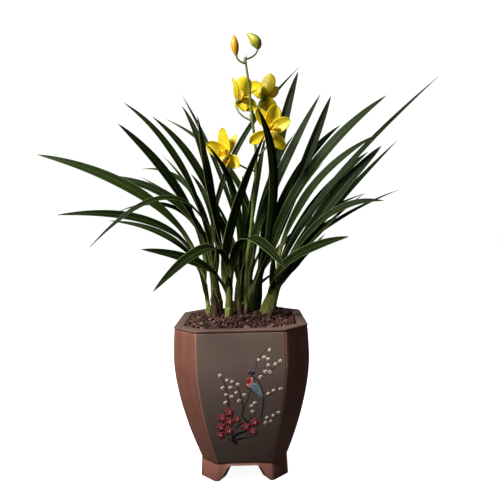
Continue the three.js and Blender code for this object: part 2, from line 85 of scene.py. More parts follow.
# Each shoot: where it stands, the way it leans, how stout its bundle of leaf feet is, how pale
# and how dry they are (the paleness is partly the feet's own colour and partly painted light and
# shade: low on a shoot whose feet lie in shade, high on one whose feet catch the light), its
# blades from the outermost in, and the thin ones among them, each as
# (tip x, y, z, bow, skew, sway, width, roll).
SHOOTS = [
    {"at": (-43, -4), "lean": (-6, 0), "foot": (0.45, 1.0, 0.0), "blades": [
        (-57, -18, 274, 3, 0.45, 0, 9, 0),
        (-188, 8, 346, 39, 0.4, 0, 12, -50),
        (-237, -60, 354, 56, 0.35, 0, 17, -55),
        (-281, -10, 441, 51, 0.37, 0, 20, -62),
        (-161, -34, 477, 30, 0.43, 0, 20, -60),
    ]},
    {"at": (-34, 18), "lean": (-4, 3), "foot": (0.85, 0.6, 1.0), "blades": [
        (-151, 176, 400, 50, 0.57, 0, 13, 20),
        (-167, 150, 435, 72, 0.52, 0, 10, -40),
        (-214, 45, 415, 60, 0.46, 0, 17, -55),
        (-194, 75, 359, 69, 0.56, 2, 10, -40),
        (-169, 35, 522, 38, 0.58, 4, 14, -50),
        (-73, 50, 415, 26, 0.6, 0, 11, -40),
        (-84, 50, 519, 26, 0.62, 0, 13, -50),
        (98, 62, 577, 48, 0.39, 0, 10, 60),
    ], "wisps": [
        (-150, 60, 412, 34, 0.5, 0, 8, -45),
        (-118, 70, 446, 30, 0.5, 0, 7, -40),
    ]},
    {"at": (-17, -21), "lean": (2, -3), "foot": (0.65, 0.9, 0.1), "blades": [
        (-16, -36, 268, 4, 0.45, 0, 13, 0),
        (-126, -70, 307, 27, 0.25, 0, 18, -60),
        (52, -180, 286, 64, 0.37, 0, 20, 12),
        (-99, -140, 260, 64, 0.26, 10, 19, -30),
        (37, -85, 449, 17, 0.22, -9, 18, 0),
        (-118, -12, 490, 32, 0.56, 0, 15, -55),
        (-184, -95, 312, 95, 0.6, 5, 11, -45),
        (-52, -40, 483, -2, 0.25, 0, 20, -60),
    ]},
    {"at": (-3, 8), "lean": (1, 2), "foot": (0.9, 0.05, 0.4), "blades": [
        (12, 25, 338, 3, 0.34, 0, 12, 60),
        (-37, -86, 437, 50, 0.56, 2, 15, -20),
        (42, 22, 468, 3, 0.5, 0, 12, 60),
        (121, 5, 520, 10, 0.4, 0, 17, 60),
    ], "wisps": [
        (-48, -10, 392, 16, 0.5, 0, 10, -40),
        (-30, 40, 352, 8, 0.5, 0, 12, -20),
    ]},
    {"at": (15, 15), "lean": (9, 1), "foot": (1.0, 0.0, 0.0), "blades": [
        (162, 80, 489, 33, 0.55, 0, 16, 50),
        (206, -30, 507, 34, 0.52, 0, 20, 60),
        (145, 60, 531, 1, 0.62, 0, 17, 60),
        (93, 34, 562, 9, 0.66, -2, 17, 60),
        (28, -67, 488, 2, 0.66, 24, 15, 10),
    ]},
    {"at": (29, -8), "lean": (23, -2), "foot": (1.05, 1.0, 0.0), "blades": [
        (135, -110, 318, 30, 0.24, 0, 20, 58),
        (62, -22, 262, 4, 0.45, 0, 14, 0),
        (130, -64, 344, 8, 0.62, 0, 17, 50),
        (183, -90, 361, 35, 0.68, 0, 15, 50),
        (182, -60, 448, 35, 0.54, -4, 16, 60),
        (281, -20, 534, 29, 0.25, 0, 11, 50),
        (249, 70, 462, 11, 0.25, 4, 11, 45),
        (193, -48, 436, 10, 0.5, -3, 21, 65),
        (196, 40, 441, 24, 0.38, -2, 16, 60),
    ], "wisps": [
        (47, -26, 292, 3, 0.5, 0, 11, 10),
        (112, -70, 321, 1, 0.5, 0, 12, 50),
        (118, -22, 418, 24, 0.45, 0, 8, 50),
        (194, 60, 380, 14, 0.4, 0, 6, 40),
    ]},
    {"at": (10, 42), "lean": (2, 7), "foot": (1.0, 0.3, 0.4), "blades": [
        (272, 150, 389, 24, 0.42, 0, 9, 30),
        (-65, 160, 388, 24, 0.4, 0, 10, -30),
        (206, 120, 382, 30, 0.4, 0, 10, 35),
        (62, 180, 404, 30, 0.42, 0, 14, 15),
        (4, 176, 423, 22, 0.4, 0, 13, 10),
        (-117, 110, 511, 64, 0.42, 0, 12, -45),
        (96, 152, 490, 30, 0.48, 0, 9, 40),
        (188, 140, 503, 24, 0.42, 0, 12, 45),
        (-96, 150, 561, 22, 0.42, 0, 9, -40),
    ]},
]

# Dry sheaths: where each stands, and its tip x, y, z and width.
DRY_SHEATHS = [
    ((-34, -16), (-38, -20, 246, 13)),
    ((1, -25), (-3, -30, 238, 9)),
    ((8, -19), (9, -20, 228, 8)),
    ((38, -28), (46, -32, 229, 6)),
]

# Flower stem.
STEM_LINE = [
    (7, -13, 188), (8, -13, 262), (19, -13, 349), (26, -13, 425),
    (22, -12, 485), (18, -12, 535), (14, -12, 570),
]
STEM_FOOT = 2.7  # its radius at the foot
STEM_TOP = 1.5  # and at the top
STALK = 1.25  # radius of a stalk
STEM_SCALES = {300: (30, -13, 320), 362: (-10, -20, 380)}  # height: a point on the side it faces

# Stalks: from a height on the stem, by way of a bend, to the back of a bloom or bud.
STALKS = {
    "bloom_1": (410, (9, -20, 413), (-2, -23, 422)),
    "bloom_2": (430, (35, -18, 434), (44, -22, 447)),
    "bloom_3": (481, (4, -8, 487), (0, 0, 504)),
    "bloom_4": (486, (30, -4, 494), (36, 10, 511)),
    "bud_1": (561, (3, -12, 564), (2, -12, 573)),
    "bud_2": (567, (30, -12, 570), (32, -12, 581)),
}

# Blooms: the heart, the way it faces, and [tip x, y, z, width, turn] of sepals and petals.
BLOOMS = {
    "bloom_1": ((-12, -28, 430), (-0.72, -0.66, 0.2), [
        (-21, -24, 470, 21, 0),
        (-2, -14, 462, 19, 0),
        (-42, -24, 449, 21, 0),
        (-17, -42, 412, 16, 0),
        (2, -40, 414, 19, 0),
    ]),
    "bloom_2": ((45, -31, 462), (0.3, -0.92, 0.25), [
        (29, -28, 495, 19, 0),
        (55, -32, 498, 22, 0),
        (73, -38, 476, 20, 0),
        (64, -36, 436, 20, 0),
        (17, -36, 446, 17, 0),
    ]),
    "bloom_3": ((3, 6, 514), (0.75, -0.1, 0.65), [
        (-4, 4, 547, 16, 20),
        (17, -8, 544, 26, 60),
        (36, 14, 542, 24, -30),
        (30, 6, 503, 24, 65),
        (12, -6, 496, 20, 40),
    ]),
    "bloom_4": ((42, 19, 522), (0.3, 0.9, 0.3), [
        (51, 20, 556, 22, 0),
        (63, 32, 538, 18, 0),
        (24, 38, 541, 19, 0),
        (56, 22, 499, 18, 0),
        (35, 30, 496, 17, 0),
    ]),
}
LIP_LONG = 21
LIP_WIDE = 15

# Buds: the tip, the largest radius, and how far the bud bellies out sideways.
BUDS = {
    "bud_1": ((-1, -12, 603), 5.8, -0.5),
    "bud_2": ((16, -12, 604), 7.8, 5),
}

# ---- finishes --------

def srgb(code):
    """A screen colour such as "8a5546" as the linear colour that a shader takes."""
    parts = [int(code[i : i + 2], 16) / 255 for i in (0, 2, 4)]
    return (*[p / 12.92 if p <= 0.04045 else ((p + 0.055) / 1.055) ** 2.4 for p in parts], 1)


class Wire:
    """A value in a finish. Sums and products of wires add the Math nodes for them."""

    def __init__(self, finish, socket):
        self.finish = finish
        self.socket = socket

    def math(self, operation, *terms):
        """A Math node on the given terms, or on this wire alone."""
        inputs = dict(enumerate(terms or (self,)))
        return self.finish.node("Math", {"operation": operation}, inputs)

    __add__ = __radd__ = lambda self, other: self.math("ADD", self, other)
    __mul__ = __rmul__ = lambda self, other: self.math("MULTIPLY", self, other)
    __sub__ = lambda self, other: self.math("SUBTRACT", self, other)
    __rsub__ = lambda self, other: self.math("SUBTRACT", other, self)
    __truediv__ = lambda self, other: self.math("DIVIDE", self, other)
    __abs__ = lambda self: self.math("ABSOLUTE", self)

    def between(self, low, high):
        """0 below low, 1 above high and a smooth rise between them; falling if high is lower."""
        settings = {"interpolation_type": "SMOOTHSTEP"}
        ends = (low, high, 0, 1) if low < high else (high, low, 1, 0)
        names = ("From Min", "From Max", "To Min", "To Max")
        return self.finish.node("MapRange", settings, {"Value": self, **dict(zip(names, ends))})

    def stripes(self, pace):
        """Soft stripes from 0 to 1 across the value."""
        return (self * pace).math("SINE") * 0.5 + 0.5


class Finish:
    """A procedural material, with the constants of its shader."""

    def __init__(self, name, **constants):
        self.material = bpy.data.materials.new(name)
        self.material.use_nodes = True
        self.tree = self.material.node_tree
        self.shader = self.tree.nodes["Principled BSDF"]
        for socket, value in constants.items():
            self.shader.inputs[socket.replace("_", " ")].default_value = value

    def node(self, kind, settings, inputs, output=0):
        """Adds a node: its settings are set first, then the values or wires of its sockets."""
        made = self.tree.nodes.new("ShaderNode" + kind)
        for name, value in settings.items():
            setattr(made, name, value)
        for name, value in inputs.items():
            if isinstance(value, Wire):
                self.tree.links.new(value.socket, made.inputs[name])
            else:
                made.inputs[name].default_value = value
        return Wire(self, made.outputs[output])

    def place(self):
        return self.node("TexCoord", {}, {}, "Object")

    def axes(self):
        """The place on the piece, in metres, as three wires."""
        place = self.place()
        return [self.node("SeparateXYZ", {}, {"Vector": place}, i) for i in range(3)]

    def attributes(self, *names):
        """Values that the corners of the shape carry."""
        return [self.node("Attribute", {"attribute_name": name}, {}, "Fac") for name in names]

    def noise(self, scale, detail=3, stretch=None, roughness=0.5):
        place = self.place()
        if stretch:
            place = self.node("VectorMath", {"operation": "MULTIPLY"}, {0: place, 1: stretch})
        sockets = {"Vector": place, "Scale": scale, "Detail": detail, "Roughness": roughness}
        return self.node("TexNoise", {}, sockets)

    def mix(self, share, first, second):
        """A colour between two, which can be wires, linear colours or codes of screen colours."""
        first, second = (srgb(c) if isinstance(c, str) else c for c in (first, second))
        return self.node("Mix", {"data_type": "RGBA"}, {0: share, 6: first, 7: second}, 2)

    def feed(self, **wires):
        """Links wires to the shader's sockets."""
        for name, wire in wires.items():
            self.tree.links.new(wire.socket, self.shader.inputs[name.replace("_", " ")])

    def bump(self, height, deep, strength=1.0):
        """Raises the surface by up to `deep` metres."""
        sockets = {"Height": height, "Distance": deep, "Strength": strength}
        self.feed(Normal=self.node("Bump", {}, sockets))


FIBRES = (5, 5, 0.6)  # stretches a noise into upright fibres
LEAF_VEINS = 46
PETAL_VEINS = 34


def leaf_finish():
    """Dark satin leaf: paler at its foot (by a per-shoot amount that also paints in light and
    shade), down its midrib and along its margins, finely ribbed.
    """
    finish = Finish("leaf", IOR=1.4, Specular_IOR_Level=0.1)
    across, run, tone, husky, pale = finish.attributes("across", "run", "tone", "spot", "pale")
    mottle = finish.noise(55, 4)
    fibres = finish.noise(160, 4, FIBRES, 0.7)
    edge = abs(across)
    dark = finish.mix(mottle, "0e1605", "1b290c")
    lively = finish.mix(tone.between(0.5, 1.0) * 0.4, dark, "34451a")
    sheathed = finish.mix(fibres.between(0.38, 0.62), "6c762a", "c2c374")
    # The pale foot is partly its own colour and partly painted light and shade, through each
    # shoot's paleness.
    foot_paleness_and_light = (run - (tone + pale) * 0.08).between(0.22, -0.04) * (tone * 0.4 + 0.6) * pale
    based = finish.mix(foot_paleness_and_light, lively, sheathed)
    ribbed = finish.mix(edge.between(0.1, 0.02) * 0.35, based, "5e7034")
    margined = finish.mix(edge.between(0.88, 0.98) * 0.5, ribbed, "8b9a5c")
    tipped = finish.mix(run.between(0.965, 0.995) * 0.8, margined, "5a3d22")
    dry = finish.mix(fibres.between(0.35, 0.65), "4a3228", "8c7350")
    veins = across.stripes(LEAF_VEINS)
    grain = finish.noise(900, 2)
    finish.feed(
        Base_Color=finish.mix(husky * (0.25 + fibres * 0.9), tipped, dry),
        Roughness=0.34 + mottle * 0.12 + veins * 0.05 + husky * 0.3,
    )
    finish.bump(veins * 0.8 + grain * 0.2, 0.0002, 0.5)
    return finish


def husk_finish():
    """Dry papery sheath: maroon brown, with fibres along it."""
    finish = Finish("dry_husk", Roughness=0.7)
    across, run = finish.attributes("across", "run")
    fibres = finish.noise(70, 5, FIBRES, 0.7)
    patches = finish.noise(80, 3)
    brown = finish.mix(fibres.between(0.42, 0.6), "24120e", "755440")
    mauve = finish.mix(patches.between(0.42, 0.58) * 0.75, brown, "3f2127")
    greenish = finish.mix(run.between(0.3, 0.95) * 0.4, mauve, "5f5c2c")
    edge = abs(across).between(0.82, 1.0)
    finish.feed(Base_Color=finish.mix(edge * 0.5, greenish, "a08a68"))
    finish.bump(fibres, 0.0006)
    return finish


def stem_finish():
    """Green flower stem, with a faint grain along it."""
    finish = Finish("flower_stalk", Roughness=0.42, Subsurface_Weight=0.06)
    [run] = finish.attributes("run")
    streaks = finish.noise(200, 3, (5, 5, 0.5))
    green = finish.mix(streaks, "4d5f24", "6f8238")
    finish.feed(Base_Color=finish.mix(run.between(0.45, 0.1) * 0.6, green, "7d8f42"))
    finish.bump(streaks, 0.0003)
    return finish


def petal_finish(name, body, deep, throat):
    """Waxy petal: fine veins along it, a deeper heart and, on a lip, orange-brown spots."""
    finish = Finish(name, Roughness=0.45, Subsurface_Weight=0.5, Subsurface_Scale=0.006,
                    Subsurface_Radius=(1.0, 0.8, 0.2))
    across, run, spot = finish.attributes("across", "run", "spot")
    veins = across.stripes(PETAL_VEINS)
    mottle = finish.noise(120, 4)
    base = finish.mix(mottle * 0.5 + veins * 0.15, body, deep)
    hearted = finish.mix(run.between(0.3, 0.0) * 0.55, base, throat)
    speckle = finish.noise(420, 1).between(0.56, 0.62)
    finish.feed(Base_Color=finish.mix(speckle * spot, hearted, "b0561a"))
    finish.bump(veins * 0.7 + mottle * 0.3, 0.0004, 0.6)
    return finish


def bud_finish(name, body, side, edge):
    """A closed bud: mottled, with painted shade darkening its right side, the side away from the
    lamp.
    """
    finish = Finish(name, Roughness=0.4, Subsurface_Weight=0.1, Subsurface_Scale=0.004)
    around, run = finish.attributes("across", "run")
    mottle = finish.noise(150, 3)
    base = finish.mix(mottle, body, side)
    # Painted shade: a darker band down the bud's right side, from its foot up, in the last colour.
    painted_shade = around.between(0.2, 0.9) * run.between(0.0, 0.6)
    finish.feed(Base_Color=finish.mix(painted_shade * 0.75, base, edge))
    finish.bump(mottle, 0.0003)
    return finish


def grit_finish():
    """Baked red-brown grit, a different tone on each stone."""
    finish = Finish("grit_stone", Roughness=0.92)
    [tone] = finish.attributes("tone")
    grain = finish.noise(600, 4)
    dark = finish.mix(tone, "20100b", "6b4236")
    pale = finish.mix(tone.between(0.85, 1.0), dark, "a08072")
    finish.feed(Base_Color=finish.mix(grain * 0.45, pale, "40231b"))
    finish.bump(grain, 0.0009)
    return finish


# Where the slip on the front starts and where it is full, in metres.
SLIP_SIDE = (0.0024, 0.0034)  # in from the edges of the front face
SLIP_FOOT = (0.0216, 0.0224)
SLIP_TOP = (0.2012, 0.2)
SLIP_FRONT = (-0.05, -0.052)
EDGE_HIGHLIGHT_LINE = 0.0016  # and how far in from those edges a pale line is painted on as the highlight of the rounded edge
DUSTY_RIM = (0.2018, 0.2036)


def clay_finish():
    """Unglazed red clay; the front has a grey-brown slip panel inside narrow bare margins, and a
    painted highlight down its two side edges.
    """
    finish = Finish("fired_clay", IOR=1.42)
    x, y, z = finish.axes()
    cloud = finish.noise(14, 4)
    speck = finish.noise(520, 3)
    grain = finish.noise(1600, 2)
    streak = finish.noise(60, 3, (1, 1, 0.12))
    bare = finish.mix(cloud, "7a493a", "8c5d4e")
    bare = finish.mix(streak.between(0.5, 0.75) * 0.45, bare, "5f3629")
    below = (BELLY_Z * MM - z) / ((BELLY_Z - BODY_Z) * MM)
    taper = below.math("MAXIMUM", below, 0.0)
    taper = taper.math("POWER", taper, TAPER_POWER)
    half = BELLY_HALF * MM - (BELLY_HALF - WAIST_HALF) * MM * taper
    margin = half * (1 - CHAMFER) - abs(x)
    wobble = (finish.noise(40, 2) - 0.5) * 0.0016
    inside = (margin + wobble).between(*SLIP_SIDE)
    high = z.between(*SLIP_FOOT) * (z + wobble * 0.5).between(*SLIP_TOP)
    front = y.between(*SLIP_FRONT)
    slip_mask = inside * high * front
    slip = finish.mix(cloud, "6a574d", "7a665c")
    slip = finish.mix(speck.between(0.62, 0.72) * 0.5, slip, "8b786c")
    body = finish.mix(slip_mask, bare, slip)
    dusty = finish.mix(z.between(*DUSTY_RIM) * 0.85, body, "64554b")
    # Painted highlight: a pale line down each side edge of the front face, standing in for the
    # light that the rounded edge catches.
    edge_highlight = abs(margin - EDGE_HIGHLIGHT_LINE).between(0.0014, 0.0) * front * high
    edge_highlighted = finish.mix(edge_highlight * 0.8, dusty, "b4836d")
    finish.feed(Base_Color=edge_highlighted, Roughness=0.55 + slip_mask * 0.22 + speck * 0.12)
    finish.bump(grain * 0.35 + speck * 0.5 + slip_mask * 0.6, 0.0005, 0.7)
    return finish


def paint_finish(name, code):
    """Thick matt paint on the clay."""
    finish = Finish(name, Roughness=0.6)
    mottle = finish.noise(300, 3)
    body = srgb(code)
    shade = (*[c * 0.6 for c in body[:3]], 1)
    finish.feed(Base_Color=finish.mix(mottle.between(0.3, 0.7) * 0.5, body, shade))
    finish.bump(mottle, 0.0003)
    return finish


# ---- shapes ----------

def link(name, data):
    """Puts an object with a mesh, lamp or camera in the scene."""
    made = bpy.data.objects.new(name, data)
    bpy.context.scene.collection.objects.link(made)
    return made


def as_object(name, shape, finishes):
    """Turns a shape into an object, and lets go of the shape."""
    mesh = bpy.data.meshes.new(name)
    shape.to_mesh(mesh)
    shape.free()
    for finish in finishes:
        mesh.materials.append(finish.material)
    return link(name, mesh)


def piece(name, shape, finishes, nodes, flat=False):
    """Turns a shape in millimetres into a piece that stands for CAD nodes."""
    bmesh.ops.scale(shape, vec=(MM, MM, MM), verts=shape.verts)
    made = as_object(name, shape, finishes)
    faces = made.data.polygons
    faces.foreach_set("use_smooth", [not flat] * len(faces))
    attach(made, "root")
    if nodes:
        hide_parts(*nodes)
    return made


def new_shape():
    """An empty shape, with the values that the finishes read at each corner."""
    shape = bmesh.new()
    for name in ("across", "run", "tone", "spot", "pale"):
        shape.verts.layers.float.new(name)
    return shape


def tint(shape, verts, tone):
    """Gives corners a tone for the finish to read."""
    layer = shape.verts.layers.float["tone"]
    for vert in verts:
        vert[layer] = tone


def sheet(shape, across, along, place, values, weld=0.01, colour=0):
    """A grid of faces laid out by place(s, t): s runs from -1 to 1 across it, t from 0 to 1 along.
    values(s, t) gives what the finishes read. Corners that meet are welded."""
    before = set(shape.faces)
    made = bmesh.ops.create_grid(shape, x_segments=across, y_segments=along, size=1)["verts"]
    layers = shape.verts.layers.float
    for vert in made:
        s, t = vert.co.x, (vert.co.y + 1) / 2
        vert.co = place(s, t)
        for name, value in values(s, t).items():
            vert[layers[name]] = value
    bmesh.ops.remove_doubles(shape, verts=made, dist=weld)
    faces = [face for face in shape.faces if face not in before]
    for face in faces:
        face.material_index = colour
    return faces


def close_behind(shape, faces, behind):
    """Turns a sheet into a closed shell; behind(corner, normal) gives a corner's far side."""
    shape.normal_update()
    corners = {v.co.copy().freeze(): v.normal.copy() for f in faces for v in f.verts}
    made = bmesh.ops.extrude_face_region(shape, geom=faces, use_keep_orig=True)["geom"]
    shell = set(faces)
    for part in made:
        if isinstance(part, bmesh.types.BMVert):
            shell.update(part.link_faces)
            part.co = behind(part.co, corners[part.co.copy().freeze()])
    bmesh.ops.recalc_face_normals(shape, faces=list(shell))


def shell(shape, across, along, place, values, weld, thick, colour=0):
    """A sheet with a thickness."""
    faces = sheet(shape, across, along, place, values, weld, colour)
    close_behind(shape, faces, lambda corner, normal: corner - normal * thick)


def bezier(a, b, c, t):
    """A point of a quadratic curve, and the way it runs there."""
    point = a * (1 - t) ** 2 + b * (2 * t * (1 - t)) + c * t**2
    return point, ((b - a) * (1 - t) + (c - b) * t).normalized()


def flow(a, b, leave, arrive, u):
    """A point of the cubic curve from a to b that sets out and comes in by the given vectors."""
    point = a * (2 * u**3 - 3 * u**2 + 1) + leave * (u**3 - 2 * u**2 + u)
    return point + (b * (3 * u**2 - 2 * u**3) + arrive * (u**3 - u**2))


def smooth(x, low, high):
    """0 below low, 1 above high and a smooth rise between them."""
    share = min(1, max(0, (x - low) / (high - low)))
    return share * share * (3 - 2 * share)


def lerp(a, b, t):
    """The value a share t of the way from a to b."""
    return a + (b - a) * t


def steps(stops, x):
    """The value at x on straight lines through (x, value) stops."""
    for (x0, y0), (x1, y1) in zip(stops, stops[1:]):
        if x <= x1:
            return lerp(y0, y1, max(0, x - x0) / (x1 - x0))
    return stops[-1][1]


def close_ends(shape, faces):
    """Caps the open ends of a tube and turns its faces outwards."""
    edges = {e for f in faces for e in f.edges if e.is_boundary}
    caps = bmesh.ops.holes_fill(shape, edges=list(edges), sides=0)["faces"]
    for cap in caps:
        cap.material_index = faces[0].material_index
    bmesh.ops.recalc_face_normals(shape, faces=faces + caps)


def tube(shape, line, radius, sides, rows, run=(0, 1), colour=0, oval=None):
    """A closed tube along line(t), which gives a point and the way it runs. oval(angle) can
    change its radius round about."""

    def place(s, t):
        centre, along = line(t)
        u = Vector((0, 1, 0.2)).cross(along).normalized()
        v = along.cross(u)
        a = math.pi * s
        swell = radius(t) * (oval(a) if oval else 1)
        return centre + (u * math.cos(a) + v * math.sin(a)) * swell

    def values(s, t):
        return {"run": lerp(*run, t), "across": math.cos(math.pi * s)}

    close_ends(shape, sheet(shape, sides, rows, place, values, 0.002, colour))


# ---- pot -------------

# The rim in profile, as (half, height): up over its rounded bands, then across and down inside.
RIM = [
    (88, 197), (87.8, 199.6), (87.2, 200.1), (87.1, 200.7), (87.9, 201.1), (88.3, 201.6),
    (88.3, 202.8), (88, 203.4), (87.3, 203.9), (86, 204.1), (80, 204.1), (77.2, 204),
    (76.1, 203.6), (75.6, 202.8), (75.6, 192),
]
FOOT_CUTS = 34  # across each long side of the feet, so that the brackets come out smooth


def pot_half(z):
    """Half of the pot's width at a height."""
    if z > BELLY_Z:
        return lerp(BELLY_HALF, RIM_HALF, ((z - BELLY_Z) / (RIM_Z - BELLY_Z)) ** 2)
    down = (BELLY_Z - z) / (BELLY_Z - BODY_Z)
    return BELLY_HALF - (BELLY_HALF - WAIST_HALF) * down**TAPER_POWER


def cut_square(shape, half, z):
    """A ring of edges: a square with cut, slightly rounded corners."""
    corners = bmesh.ops.create_circle(shape, cap_ends=True, segments=8, radius=1)["verts"]
    near = 1 - CHAMFER
    spots = [(x * a, y * b) for x, y in ((1, near), (near, 1)) for a in (1, -1) for b in (1, -1)]
    corners.sort(key=lambda v: math.atan2(v.co.y, v.co.x) % math.tau)
    spots.sort(key=lambda p: math.atan2(p[1], p[0]) % math.tau)
    for vert, (x, y) in zip(corners, spots):
        vert.co = (x * half, y * half, z)
    bmesh.ops.bevel(shape, geom=corners, affect="VERTICES", offset=CORNER_ROUND * half,
                    offset_type="OFFSET", segments=4, profile=0.5, material=-1, clamp_overlap=True)
    face = next(f for f in shape.faces if all(abs(v.co.z - z) < 1e-6 for v in f.verts))
    ring = list(face.edges)
    bmesh.ops.delete(shape, geom=[face], context="FACES_ONLY")
    return ring


def pull(shape, ring, move):
    """Extrudes a ring of edges; move(corner) gives where each new corner goes."""
    made = bmesh.ops.extrude_edge_only(shape, edges=ring)["geom"]
    fresh = {part for part in made if isinstance(part, bmesh.types.BMVert)}
    for vert in fresh:
        vert.co = move(vert.co)
    edges = (part for part in made if isinstance(part, bmesh.types.BMEdge))
    return [edge for edge in edges if fresh.issuperset(edge.verts)]


def pull_through(shape, ring, stations):
    """Extrudes a ring through (half width, height) stations, the first of which it stands at."""
    for (old, _), (half, z) in zip(stations, stations[1:]):
        ring = pull(shape, ring, lambda c: Vector((c.x * half / old, c.y * half / old, z)))
    return ring


def bracket(c):
    """How high the lower edge of the feet stands, by the place along its side."""
    return steps(BRACKET, min(abs(c.x), abs(c.y)))


def clay_pot():
    """The fired pot: its body, hollow to the drain hole, on a ring of bracket feet."""
    shape = new_shape()
    outside = [(pot_half(z), z) for z in range(BODY_Z, 196, 4)]
    inside = [(pot_half(z) - WALL, z) for z in (186, 150, 110, 70, CAVITY_Z + 4)]
    floor = [(half, CAVITY_Z) for half in (48, 20, DRAIN_RADIUS + 1)]
    drain = [(DRAIN_RADIUS, CAVITY_Z - 1), (DRAIN_RADIUS, BODY_Z + 1), (DRAIN_RADIUS + 1, BODY_Z)]
    under = [(WAIST_HALF - 1, BODY_Z), outside[0]]
    ring = cut_square(shape, *outside[0])
    pull_through(shape, ring, outside + RIM + inside + floor + drain + under)
    bmesh.ops.remove_doubles(shape, verts=shape.verts, dist=0.01)
    ring = cut_square(shape, FOOT_HALF, 0)
    long = [e for e in ring if e.calc_length() > FOOT_HALF]
    bmesh.ops.subdivide_edges(shape, edges=long, cuts=FOOT_CUTS)
    ring =[e for e in shape.edges if e.is_wire]
    low = {v for e in ring for v in e.verts}
    before = set(shape.faces)
    share = FOOT_TOP_HALF / FOOT_HALF
    pull(shape, ring, lambda c: Vector((c.x * share, c.y * share, BODY_Z + 1)))
    for vert in low:
        vert.co.z = bracket(vert.co)
    faces = [f for f in shape.faces if f not in before]

    def back(c, normal):
        half = max(abs(c.x), abs(c.y), (abs(c.x) + abs(c.y)) / (2 - CHAMFER))
        share = 1 - FOOT_DEPTH / half
        return Vector((c.x * share, c.y * share, c.z))

    close_behind(shape, faces, back)
    bmesh.ops.recalc_face_normals(shape, faces=shape.faces)
    made = piece("clay_pot", shape, [clay_finish()], ["pot"])
    bevel = made.modifiers.new("soft_edges", "BEVEL")
    bevel.width = 0.7 * MM
    bevel.segments = 2
    bevel.limit_method = "ANGLE"
    bevel.angle_limit = math.radians(40)


# ---- painting on the front of the pot -
DARK, RED, PINK, CREAM, BLUE, SLATE = range(6)
PAINTS = [
    ("branch_paint", "1c1518"),
    ("red_paint", "b3303c"),
    ("pink_paint", "e0a093"),
    ("cream_paint", "e6d8c6"),
    ("blue_paint", "7d97a6"),
    ("slate_paint", "3a4658"),
]


def on_front(x, z, lift):
    """A point on the front of the pot, raised from the clay."""
    return Vector((x, -pot_half(z) - lift, z))


def brush(shape, points, widths, colour, lift=0.18):
    """A painted stroke through (x, z) points, its width running through `widths`."""
    spots = [Vector((x, z)) for x, z in points]

    def line(t):
        u = t * (len(spots) - 1)
        i = min(int(u), len(spots) - 2)
        u -= i
        a, b = spots[i], spots[i + 1]
        before, after = spots[max(i - 1, 0)], spots[min(i + 2, len(spots) - 1)]
        return flow(a, b, (b - before) / 2, (after - a) / 2, u)

    def place(s, t):
        here = line(t)
        way = (line(min(1, t + 0.01)) - line(max(0, t - 0.01))).normalized()
        side = Vector((-way.y, way.x))
        spread = [(i / (len(widths) - 1), w) for i, w in enumerate(widths)]
        spot = here + side * s * steps(spread, t) / 2
        return on_front(spot.x, spot.y, lift * (1 - 0.6 * s * s))

    faces = sheet(shape, 4, 10 * (len(spots) - 1), place, lambda s, t: {}, 0.001, colour)
    close_behind(shape, faces, lambda corner, normal: corner + Vector((0, lift + 0.3, 0)))


def dab(shape, x, z, long, wide, angle, colour, lift=0.2):
    """One touch of the brush: a low mound, longer than wide."""
    made = bmesh.ops.create_uvsphere(shape, u_segments=12, v_segments=6, radius=1)["verts"]
    c, s = math.cos(math.radians(angle)), math.sin(math.radians(angle))
    for vert in made:
        u, rise, v = vert.co.x * long / 2, vert.co.z, vert.co.y * wide / 2
        v *= 1 - 0.25 * vert.co.x
        vert.co = on_front(x + u * c - v * s, z + u * s + v * c, lift * rise + lift * 0.4)
        for face in vert.link_faces:
            face.material_index = colour


def blossom(shape, x, z, size, turn):
    """An open plum blossom: five red petals and cream stamens."""
    for i in range(5):
        angle = turn + 72 * i
        a = math.radians(angle)
        for grown, colour, lift in ((1.18, DARK, 0.2), (1, RED, 0.4)):
            dab(shape, x + math.cos(a) * size * 0.3, z + math.sin(a) * size * 0.3,
                size * 0.46 * grown, size * 0.44 * grown, angle, colour, lift)
    for i in range(3):
        a = math.radians(turn + 40 + 120 * i)
        dab(shape, x + math.cos(a) * size * 0.14, z + math.sin(a) * size * 0.14,
            size * 0.16, size * 0.1, turn + 120 * i, CREAM, 0.6)


def little_bud(shape, x, z, size, turn):
    """A half-open bud: a cream curl round a red heart, or round a pink one on the smallest."""
    heart = RED if size > 4.2 else PINK
    size *= 1.2
    dab(shape, x, z, size, size * 0.86, turn, CREAM, 0.3)
    a = math.radians(turn)
    dab(shape, x - math.cos(a) * size * 0.14, z - math.sin(a) * size * 0.14,
        size * 0.5, size * 0.42, turn, heart, 0.42)


# Strokes and touches, in the order in which they go on. A branch: its points and its widths.
BRANCHES = [
    ([(-9, 52), (-13, 61), (-8, 67), (2, 71), (9, 78), (4, 86), (-1, 93)],
     [4.2, 5.4, 4.4, 3.2, 2.4, 2.2, 1.6]),
    ([(-20, 60), (-13, 57), (-5, 60), (6, 62), (20, 65)], [0.8, 2.6, 3.4, 1.6, 0.4]),
    ([(-17, 90), (-17, 106), (-18, 121), (-21, 136), (-25, 145)], [1.6, 1.5, 1.3, 1, 0.5]),
    ([(-1, 93), (1, 104), (-1, 118), (-4, 129), (-10, 138)], [1.6, 1.3, 1.1, 0.9, 0.4]),
    ([(1, 101), (6, 113), (10, 124), (14, 133)], [1.1, 1, 0.8, 0.6]),
    ([(-10, 76), (-2, 82), (8, 86), (12, 91)], [2.4, 2, 1.4, 0.6]),
    ([(22, 142), (31, 149), (41, 156), (50, 162)], [0.5, 1.2, 1, 0.4]),
    ([(18, 155), (20, 164), (25, 172), (32, 180)], [0.4, 0.8, 0.6, 0.3]),
    ([(30, 119), (38, 122), (48, 126)], [0.4, 0.8, 0.3]),
    ([(22, 84), (32, 87), (46, 94)], [0.5, 0.9, 0.3]),
]
